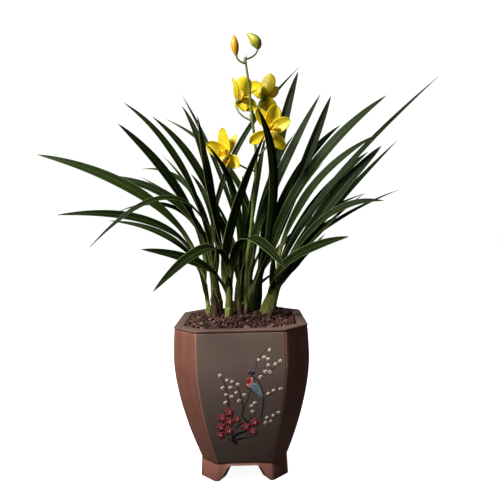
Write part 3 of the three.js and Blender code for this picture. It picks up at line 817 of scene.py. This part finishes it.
# The bird's body, wing, head, beak and eye: (x, z, long, wide, angle, colour, lift).
BIRD = [
    (11, 137, 16.6, 10.6, 70, DARK, 0.2), (18, 128, 23.6, 10.4, -55, DARK, 0.25),
    (11, 137, 15, 9, 70, PINK, 0.35), (9, 140, 9, 7, 70, RED, 0.5),
    (18, 128, 22, 9, -55, BLUE, 0.45), (23, 121, 15, 6, -62, BLUE, 0.6),
    (13, 151, 8, 6.6, 20, SLATE, 0.5), (8.6, 151, 4, 2.4, 180, RED, 0.6),
    (15, 152.6, 1.3, 1.3, 0, CREAM, 0.8),
]
# Its tail and two lines on its wing: points, widths, colour and lift.
FEATHERS = [
    ([(13, 146), (20, 140), (25, 128), (26, 112), (24, 98), (23, 88)],
     [0.8, 1.6, 1.6, 2, 1.8, 0.6], SLATE, 0.6),
    ([(15, 133), (20, 126), (24, 116)], [0.4, 0.9, 0.3], DARK, 0.9),
    ([(18, 137), (23, 129), (27, 118)], [0.4, 0.9, 0.3], CREAM, 0.9),
]


def painting():
    """A plum branch in flower, with a long-tailed bird on it, painted on the slip panel."""
    shape = new_shape()
    for points, widths in BRANCHES:
        brush(shape, points, widths, DARK)
    for x, z, size, turn in [
        (-17, 98, 12, 20), (-26, 90, 11, 60), (-17, 85, 12, 5), (-28, 77, 12, 40),
        (-18, 72, 12, 15), (-29, 66, 10, 50), (4, 77, 12, 35), (15, 83, 11, 10),
        (13, 70, 10, 50), (-7, 88, 8, 0),
    ]:
        blossom(shape, x, z, size, turn)
    for x, z, size, turn in [
        (-27, 147, 4.6, 120), (-18, 141, 4, 60), (-24, 131, 4.6, 190), (-14, 131, 4.8, 20),
        (-20, 122, 4, 160), (-13, 119, 4.8, 30), (-21, 111, 5, 200), (-12, 139, 4.2, 110),
        (-5, 135, 4.6, 40), (-7, 124, 4.4, 170), (3, 121, 4.8, 20), (-4, 113, 4.6, 200),
        (12, 106, 4.6, 60), (16, 110, 4.2, 20), (13, 98, 4.4, 300), (24, 144, 5, 200),
        (30, 151, 5, 150), (36, 150, 4.6, 300), (34, 159, 4.4, 100), (43, 160, 4.6, 80),
        (49, 164, 4.4, 60), (22, 166, 4, 130), (29, 169, 4.4, 40), (34, 167, 4, 10),
        (36, 178, 4.2, 70), (33, 122, 4.2, 210), (40, 126, 4.4, 60), (49, 128, 4.4, 30),
        (31, 89, 4.6, 90), (29, 82, 4.6, 250), (39, 92, 4, 60), (46, 96, 4.4, 30),
        (36, 84, 3.8, 300),
    ]:
        little_bud(shape, x, z, size, turn)
    for touch in BIRD:
        dab(shape, *touch)
    for stroke in FEATHERS:
        brush(shape, *stroke)
    finishes = [paint_finish(*paint) for paint in PAINTS]
    return piece("painted_branch", shape, finishes, [])


# ---- grit ------------

def grit_top(x, y):
    """The height of the grit at a place."""
    out = min(1, math.hypot(x, y) / GRIT_HALF)
    return lerp(GRIT_CROWN_Z, GRIT_EDGE_Z, out * out)


def gravel():
    """A heaped filling, covered with small angular stones."""
    shape = new_shape()
    side = GRIT_HALF - 0.4
    walls = [(pot_half(z) - WALL - 0.4, z) for z in (CAVITY_Z + 1, 70, 110, 150, 184)]
    heap = [(side * s, grit_top(side * s, 0) - 3) for s in (1, 0.8, 0.6, 0.4, 0.2, 0.05)]
    ring = cut_square(shape, *walls[0])
    pull_through(shape, ring, walls + heap)
    bmesh.ops.holes_fill(shape, edges=[e for e in shape.edges if e.is_boundary], sides=0)
    bmesh.ops.recalc_face_normals(shape, faces=shape.faces)
    tint(shape, shape.verts, 0.1)
    draw = random.Random(7)
    count = range(int(2 * GRIT_HALF / STONE_PITCH))
    for layer, i, j in [(layer, i, j) for layer in range(2) for i in count for j in count]:
        x = (i + draw.random()) * STONE_PITCH - GRIT_HALF
        y = (j + draw.random()) * STONE_PITCH - GRIT_HALF
        radius = draw.uniform(*STONE_RADII)
        room = GRIT_HALF - radius
        inside = max(abs(x), abs(y)) < room and abs(x) + abs(y) < room * (2 - CHAMFER) - 2
        if not inside or (layer and draw.random() < 0.45):
            continue
        turn = Quaternion([draw.gauss(0, 1) for _ in range(4)]).normalized().to_matrix()
        squash = Matrix.Diagonal([draw.uniform(0.6, 1.15) for _ in range(3)])
        away = (x - MOUND[0]) ** 2 + (y - MOUND[1]) ** 2
        z = grit_top(x, y) + MOUND_TALL * math.exp(-away / MOUND_WIDE) + draw.uniform(-1.8, 0.6)
        z += layer * draw.uniform(1, 2.8)
        matrix = Matrix.Translation((x, y, z)) @ (turn @ squash).to_4x4()
        made = bmesh.ops.create_icosphere(shape, subdivisions=1, radius=radius, matrix=matrix)
        for vert in made["verts"]:
            vert.co += Vector([draw.uniform(-1, 1) for _ in range(3)]) * radius * 0.16
        tint(shape, made["verts"], draw.random())
    return piece("gravel", shape, [grit_finish()], ["grit"], flat=True)


# ---- leaves ----------
SHEATH_ROWS = 8
BLADE_ROWS = 40
BLADE_COLUMNS = 10
SLIM = 0.93  # a blade's width beside the one in its row, since it isn't faceted
LATE_TWIST = (0.1, 0.75)  # from where to where along it a blade on the left turns its face
EARLY_TWIST = (-0.2, 0.5)  # and a blade on the right
FAN_HALF = 10.5  # half of the spread of the stoutest bundle of clasping leaf feet
FAN_THICK = 7  # and half of its thickness
GIRTH = [(-0.3, 0.8), (0, 0.92), (0.4, 1), (1, 0.9), (2, 0.7), (4, 0.45)]  # up the bundle
# From the outermost blade to the innermost:
STAND_OUT = (5, 2)  # how far from the middle of the shoot it leaves
CLASP = (1.05, 0.5)  # how far out in the bundle its foot lies
REACH = (160, 95)  # how many degrees to each side its foot reaches round, which falls fast
BLADE_THICK = 0.7


class Fan:
    """The bundle in which a shoot's leaves clasp each other, flat along the way they spread."""

    def __init__(self, shoot):
        # pale: how pale the leaf feet are, partly painted light and shade on each shoot.
        stout, self.pale, self.dry = shoot["foot"]
        self.half = FAN_HALF * stout
        self.thick = FAN_THICK * math.sqrt(stout)
        self.at = Vector((*shoot["at"], 0))
        self.lean = Vector((*shoot["lean"], 0))
        self.ground = grit_top(*shoot["at"])
        self.spread = Vector()
        for x, y, *_ in shoot["blades"]:
            out = Vector((x, y, 0)) - self.at
            self.spread += out if out.dot(self.spread) >= 0 else -out
        self.spread.normalize()
        self.through = Vector((-self.spread.y, self.spread.x, 0))

    def axis(self, level):
        """The middle of the bundle at a height."""
        point = self.at + self.lean * (level - self.ground + SINK) / (BULB_TALL + SINK)
        point.z = level
        return point

    def clasp(self, rank, size, angle, level):
        """A point on the bundle: rank is 1 or -1 for the side of the fan that angle turns from."""
        girth = steps(GIRTH, (level - self.ground) / BULB_TALL) * size * rank
        spread = self.spread * math.cos(angle) * self.half
        through = self.through * math.sin(angle) * self.thick
        return self.axis(level) + (spread + through) * girth


def blade_share(t, width):
    """A blade's width along it, as a share. A broad blade has a blunter point."""
    base = 0.2 * max(0, 1 - t / 0.15) ** 2
    swell = 0.7 + 0.3 * math.sin(min(t / 0.55, 1) * math.pi / 2) ** 2
    point = max(0, (t - 0.5) / 0.5)
    return base + swell * max(0, 1 - point**2.6) ** (1.25 - width / 40)


def arch(foot, tip, bow, skew, sway):
    """The bend of a blade's curve, raised by its bow, and the way that its width runs."""
    chord = tip - foot
    side = Vector((-chord.y, chord.x, 0)).normalized()
    rise = chord.normalized().cross(side)
    return foot + chord * skew + rise * 2 * bow + side * 2 * sway, side


def leaf(shape, fan, blade, order, draw):
    """A blade with the sheath that clasps its shoot, from the grit to its pointed tip."""
    x, y, z, bow, skew, sway, width, roll = blade
    height = lerp(LOWEST_BLADE, HIGHEST_BLADE, order)
    outward = Vector((x - fan.at.x, y - fan.at.y, 0)).normalized()
    foot = fan.axis(fan.ground + height) + outward * lerp(*STAND_OUT, order)
    tip = Vector((x, y, z))
    peak, side = arch(foot, tip, bow, skew, sway)
    rank = 1 if outward.dot(fan.spread) >= 0 else -1
    size = lerp(*CLASP, order)
    reach = math.radians(lerp(*REACH, min(1, order * 2.5)))
    ripple = draw.uniform(0, math.tau)
    flutter = draw.uniform(0.2, 0.7)
    twist = LATE_TWIST if outward.x < 0 else EARLY_TWIST

    def wrap(s, level):
        return fan.clasp(rank, size, s * reach, level)

    def free(s, t):
        centre, along = bezier(foot, peak, tip, t)
        turn = math.radians(roll) * smooth(t, *twist)
        across = Quaternion(along, turn) @ side
        up = along.cross(across)
        half = width / 2 * blade_share(t, width) * SLIM
        fold = math.radians(14 + 46 * (1 - t) ** 3)
        wave = flutter * math.sin(t * 17 + ripple + s) * s * s * math.sin(math.pi * t)
        lift = half * math.sin(fold) * (abs(s) + 0.12 * (s * s - abs(s))) + wave
        return centre + across * s * half * math.cos(fold) + up * lift

    def place(s, t):
        row = t * (SHEATH_ROWS + BLADE_ROWS)
        if row < SHEATH_ROWS:
            return wrap(s, lerp(fan.ground - 5, foot.z, row / SHEATH_ROWS))
        t = (row - SHEATH_ROWS) / BLADE_ROWS
        here = free(s, t)
        held = 1 - smooth(t, 0, 0.2)
        if not held:
            return here
        return here.lerp(wrap(s, bezier(foot, peak, tip, t)[0].z), held)

    tone = draw.random()
    browned = fan.dry * max(0, 1 - 1.5 * order) * (1 if outward.x < 0 else 0.4)

    def values(s, t):
        run = (t * (SHEATH_ROWS + BLADE_ROWS) - SHEATH_ROWS) / BLADE_ROWS
        dry = browned * (1 - smooth(run, -0.02, 0.1))
        return {"across": s, "run": run, "tone": tone, "pale": fan.pale, "spot": dry}

    rows = SHEATH_ROWS + BLADE_ROWS
    shell(shape, BLADE_COLUMNS, rows, place, values, 0.02, BLADE_THICK)


def foot_scale(shape, fan, rank, tall, draw):
    """A blunt scale, half dry, that clings round the foot of a shoot."""
    dryness = draw.uniform(0.6, 1) * fan.dry
    skewed = draw.uniform(-0.3, 0.3)

    def place(s, t):
        angle = s * math.radians(110) * math.sqrt(max(0, 1 - t**3)) + skewed * t
        return fan.clasp(rank, 1.08 + 0.05 * t * t, angle, fan.ground - 5 + t * tall)

    def values(s, t):
        dry = dryness * lerp(0.6, 1, t)
        return {"across": s, "run": -0.1, "tone": 0.9, "pale": fan.pale, "spot": dry}

    shell(shape, 12, 14, place, values, 0.02, 0.6)


def bulb(shape, fan):
    """The solid foot of a shoot, inside its sheaths."""

    def place(s, t):
        return fan.clasp(1, 0.45, math.pi * s, lerp(fan.ground - SINK, fan.ground + BULB_TALL, t))

    close_ends(shape, sheet(shape, 20, 8, place, lambda s, t: {"run": 0}, 0.002))


def leafy_shoot(number, shoot):
    shape = new_shape()
    draw = random.Random(100 + number)
    fan = Fan(shoot)
    bulb(shape, fan)
    last = len(shoot["blades"]) - 1
    for i, blade in enumerate(shoot["blades"]):
        leaf(shape, fan, blade, i / last, draw)
    for blade in shoot.get("wisps", []):
        leaf(shape, fan, blade, draw.uniform(0.3, 0.9), draw)
    if fan.dry > 0.3:
        foot_scale(shape, fan, 1, draw.uniform(18, 34), draw)
        foot_scale(shape, fan, -1, draw.uniform(18, 34), draw)
    return piece(f"leaves_{number}", shape, [LEAF], [f"shoot_{number}"])


def dry_sheath(number, at, tip):
    """A papery sheath, curled round itself and frayed to a point."""
    shape = new_shape()
    x, y, z, width = tip
    foot = Vector((*at, grit_top(*at) - SINK / 2))
    end = Vector((x, y, z))

    def place(s, t):
        centre = foot.lerp(end, t)
        half = width / 2 * (1 - 0.55 * t**2) * (1 - max(0, (t - 0.6) / 0.4) ** 2 * 0.9)
        angle = s * math.radians(70)
        ragged = 1.5 * math.sin(s * 9 + number) * smooth(t, 0.8, 1)
        curl = Vector((math.sin(angle) * half, (1 - math.cos(angle)) * half - half * 0.5, ragged))
        return centre + curl

    shell(shape, 12, 22, place, lambda s, t: {"across": s, "run": t}, 0.005, 0.5)
    return piece(f"husk_{number}", shape, [HUSK], [f"dry_sheath_{number}"])


# ---- flower stem -----

def stem_line(t):
    """A point of the flower stem, and the way it runs."""
    spots = [Vector(p) for p in STEM_LINE]
    u = min(0.9999, max(0, t)) * (len(spots) - 1)
    i = int(u)
    u -= i
    a, b = spots[i], spots[i + 1]
    before = spots[i - 1] if i else a * 2 - b
    after = spots[i + 2] if i + 2 < len(spots) else b * 2 - a
    leave, arrive = (b - before) / 2, (after - a) / 2
    way = a * (6 * u**2 - 6 * u) + leave * (3 * u**2 - 4 * u + 1)
    way += b * (6 * u - 6 * u**2) + arrive * (3 * u**2 - 2 * u)
    return flow(a, b, leave, arrive, u), way.normalized()


def stem_share(z):
    """How far up the stem a height is."""
    low, high = 0.0, 1.0
    for _ in range(30):
        mid = (low + high) / 2
        if stem_line(mid)[0].z < z:
            low = mid
        else:
            high = mid
    return low


def stalk(name):
    """The curve of a stalk: where it leaves the stem, its bend and its end."""
    height, bend, end = STALKS[name]
    return stem_line(stem_share(height))[0], Vector(bend), Vector(end)


def bract(shape, share, toward, long, wide):
    """A small pointed scale that clasps the stem on the side of a point."""
    centre, along = stem_line(share)
    radius = lerp(STEM_FOOT, STEM_TOP, share) + 0.3
    out = toward - centre
    out = (out - along * out.dot(along)).normalized()
    side = along.cross(out)

    def place(s, t):
        angle = s * math.radians(wide) * (1 - 0.2 * t) * max(0, 1 - t**1.8)
        spread = radius + 2.2 * t * t
        ring = out * math.cos(angle) * spread + side * math.sin(angle) * spread
        return stem_line(share - 0.004)[0] + along * t * long + ring

    shell(shape, 8, 12, place, lambda s, t: {"across": s, "run": 0.7}, 0.005, 0.4)


def flower_stem():
    shape = new_shape()
    knots = [stem_share(z) for z in [height for height, _, _ in STALKS.values()] + [*STEM_SCALES]]

    def radius(t):
        swell = sum(0.16 * math.exp(-(((t - k) / 0.008) ** 2)) for k in knots)
        return lerp(STEM_FOOT, STEM_TOP, t) * (1 + swell)

    tube(shape, stem_line, radius, 16, 180)
    for name, (height, _, _) in STALKS.items():
        curve = stalk(name)
        tube(shape, lambda t: bezier(*curve, t),
             lambda t: STALK * (1.25 - 0.5 * t + 0.35 * t * t), 12, 24, (0.6, 1))
        bract(shape, stem_share(height), curve[-1], 11 if name.startswith("bloom") else 7, 80)
    for height, side in STEM_SCALES.items():
        bract(shape, stem_share(height), Vector(side), 20, 120)
    return piece("spike", shape, [STEM], ["flower_stem"])


# ---- blooms and buds -

def tepal_share(t):
    swell = 0.35 + 0.65 * math.sin(min(t / 0.55, 1) * math.pi / 2)
    point = max(0, (t - 0.55) / 0.45)
    return swell * math.sqrt(max(0, 1 - point**2.4))


def tepal(shape, heart, face, row, draw):
    """A sepal or petal: hollowed towards the front, with a ridge down it and a soft wave."""
    x, y, z, width, turn = row
    tip = Vector((x, y, z))
    middle = heart.lerp(tip, 0.45) - face * 5
    side = face.cross(tip - heart).normalized()
    ripple = draw.uniform(0, math.tau)

    def place(s, t):
        centre, along = bezier(heart, middle, tip, t)
        across = Quaternion(along, math.radians(turn)) @ side
        up = along.cross(across)
        half = width / 2 * tepal_share(t)
        hollow = half * math.sin(math.radians(18)) * s * s * 1.15
        ridge = -0.35 * math.exp(-((s * 6) ** 2))
        wave = 0.7 * math.sin(t * 9 + ripple) * abs(s) ** 3 * t
        curl = -1.6 * smooth(t, 0.72, 1) * (1 - 0.4 * s * s)
        return centre + across * s * half * 0.98 + up * (hollow + ridge + wave + curl)

    shell(shape, 12, 20, place, lambda s, t: {"across": s, "run": t}, 0.01, 0.7)


def lip(shape, heart, face, top, side):
    """The lip: a tongue that rolls under, with frilled edges, and a lobe up each side of it."""

    def at(forward, up, right):
        return heart + face * forward + top * up + side * right

    tongue = (at(1, -1, 0), at(LIP_LONG * 0.85, -1, 0), at(LIP_LONG * 0.62, -LIP_LONG * 0.8, 0))

    def petal(curve, across, wide, frill):
        def place(s, t):
            centre, along = bezier(*curve, t)
            flat = (across - along * across.dot(along)).normalized()
            up = along.cross(flat)
            half = wide / 2 * (0.35 + 0.65 * math.sin(math.pi * min(1, t * 0.94)))
            half *= math.sqrt(max(0, 1 - max(0, (t - 0.8) / 0.2) ** 3))
            wave = frill * math.sin(t * 22 + s) * abs(s) ** 2 * t
            return centre + flat * s * half * 0.97 + up * (half * 0.24 * s * s + wave)

        def values(s, t):
            return {"across": s, "run": t, "spot": smooth(t, 0.1, 0.2) * (1 - smooth(t, 0.7, 0.9))}

        shell(shape, 12, 18, place, values, 0.01, 0.8, 1)

    petal(tongue, side, LIP_WIDE, 0.8)
    for s in (1, -1):
        curve = (at(1, 0, s), at(6, -1, 7 * s), at(13, 5, 6 * s))
        petal(curve, top * s, LIP_WIDE * 0.6, 0.3)


def bloom(name, finishes):
    heart, face, tepals = BLOOMS[name]
    heart, face = Vector(heart), Vector(face).normalized()
    side = face.cross(Vector((0, 0, 1))).normalized()
    top = side.cross(face)
    shape = new_shape()
    draw = random.Random(name)
    end, away = bezier(*stalk(name), 1)
    ovary = (end - away * 0.4, end + away * 4, heart + face * 2)
    tube(shape, lambda t: bezier(*ovary, t), lambda t: lerp(1.5, 3.4, t * t), 14, 14, (0.9, 0.2),
         colour=2, oval=lambda a: 1 + 0.07 * math.cos(6 * a))
    column = (heart, heart + face * 8 + top * 5, heart + face * 13 + top * 2)
    tube(shape, lambda t: bezier(*column, t),
         lambda t: (2 + 0.9 * t) * math.sqrt(max(0.02, 1 - smooth(t, 0.85, 1.001))),
         14, 18, (0.1, 0.8))
    for row in tepals:
        tepal(shape, heart, face, row, draw)
    lip(shape, heart, face, top, side)
    return piece(name.replace("bloom", "open_bloom"), shape, finishes, [name])


def closed_bud(name, finish):
    """A closed bud: three sepals shut over each other, with shallow seams between them."""
    tip, radius, belly = BUDS[name]
    end, away = bezier(*stalk(name), 1)
    end, tip = end + away * 0.1, Vector(tip)
    middle = end.lerp(tip, 0.5) + Vector((2 * belly, 0, 0))
    shape = new_shape()

    def swell(t):
        round_off = math.sqrt(max(0.0, 1 - max(0, (t - 0.86) / 0.14) ** 2))
        return radius * (0.3 + 0.7 * math.sin(math.pi * t) ** 0.8) * (1 - 0.8 * t**5) * round_off

    def seam(a):
        return 1 - 0.09 * max(0, math.cos(3 * a + 0.6)) ** 10

    tube(shape, lambda t: bezier(end, middle, tip, t), swell, 42, 36, oval=seam)
    return piece(name.replace("bud", "closed_bud"), shape, [finish], [name])


# ---- stage -----------

FILL = 0.08  # strength of the light from all round
WHITE = (1, 1, 1, 1)
PALE = (0.8, 0.8, 0.8, 1)
FLOOR_GLOW = 0.94
DOME_GLOW = 1.0
BACKDROP_RADIUS = 12  # in metres
LAMPS = [  # name, place in metres, power, size, whether it shows in the gloss
    ("key", (-0.98, -0.72, 1.52), 52, 0.45, True),
    ("back", (0.7, 1.5, 1.1), 9, 0.9, False),
]
LAMPS_AIM = (0, 0, 0.3)  # in metres
CAMERA_AT = (14.5, -737, 335)
CAMERA_ROLL = -1.4  # in degrees
CAMERA_FOCAL = 518 / 500  # beside the width of the picture
CAMERA_SHIFT = (0.0012, -0.05)


def backdrop(name, shape, glow):
    """A pale floor or dome that shows behind the plant but casts no light on it."""
    pale = Finish("pale_" + name, Roughness=0.9, Base_Color=PALE, Emission_Color=WHITE,
                  Emission_Strength=glow)
    made = as_object(name, shape, [pale])
    made.visible_diffuse = made.visible_glossy = made.visible_shadow = False


def stage():
    """A pale floor, soft light from the upper left, and the camera at the photograph's place."""
    floor = bmesh.new()
    bmesh.ops.create_circle(floor, cap_ends=True, segments=64, radius=BACKDROP_RADIUS)
    backdrop("floor", floor, FLOOR_GLOW)
    dome = bmesh.new()
    bmesh.ops.create_uvsphere(dome, u_segments=48, v_segments=24, radius=BACKDROP_RADIUS)
    backdrop("dome", dome, DOME_GLOW)

    world = bpy.data.worlds.new("studio")
    world.use_nodes = True
    world.node_tree.nodes["Background"].inputs["Color"].default_value = WHITE
    world.node_tree.nodes["Background"].inputs["Strength"].default_value = FILL
    bpy.context.scene.world = world
    for name, spot, power, size, glossy in LAMPS:
        softbox = bpy.data.lights.new(name, "AREA")
        softbox.energy = power
        softbox.size = size
        lamp = link(name, softbox)
        lamp.location = spot
        lamp.visible_glossy = glossy
        aim = Vector(LAMPS_AIM) - Vector(spot)
        lamp.rotation_euler = aim.to_track_quat("-Z", "Y").to_euler()

    lens = bpy.data.cameras.new("camera")
    lens.lens = lens.sensor_width * CAMERA_FOCAL
    lens.shift_x, lens.shift_y = CAMERA_SHIFT
    camera = link("camera", lens)
    upright = Matrix.Rotation(math.radians(90), 4, "X")
    rolled = Matrix.Rotation(math.radians(CAMERA_ROLL), 4, "Z")
    camera.matrix_world = Matrix.Translation(Vector(CAMERA_AT) * MM) @ upright @ rolled
    bpy.context.scene.camera = camera
    bpy.context.scene.view_settings.view_transform = "Standard"


LEAF = leaf_finish()
HUSK = husk_finish()
STEM = stem_finish()

stage()
clay_pot()
painting()
gravel()
for number, shoot in enumerate(SHOOTS, 1):
    leafy_shoot(number, shoot)
for number, (at, tip) in enumerate(DRY_SHEATHS, 1):
    dry_sheath(number, at, tip)
flower_stem()
petals = [
    petal_finish("yellow_petal", "f7d716", "e2b704", "e6ac12"),
    petal_finish("yellow_lip", "fbdc46", "efb91c", "e68a1c"),
    STEM,
]
for name in BLOOMS:
    bloom(name, petals)
# The last colour of each bud is the painted shade down its right side.
closed_bud("bud_1", bud_finish("orange_bud", "eeb41e", "dc9a18", "8a3f14"))
closed_bud("bud_2", bud_finish("green_bud", "c6c03e", "b0ac30", "4c6418"))
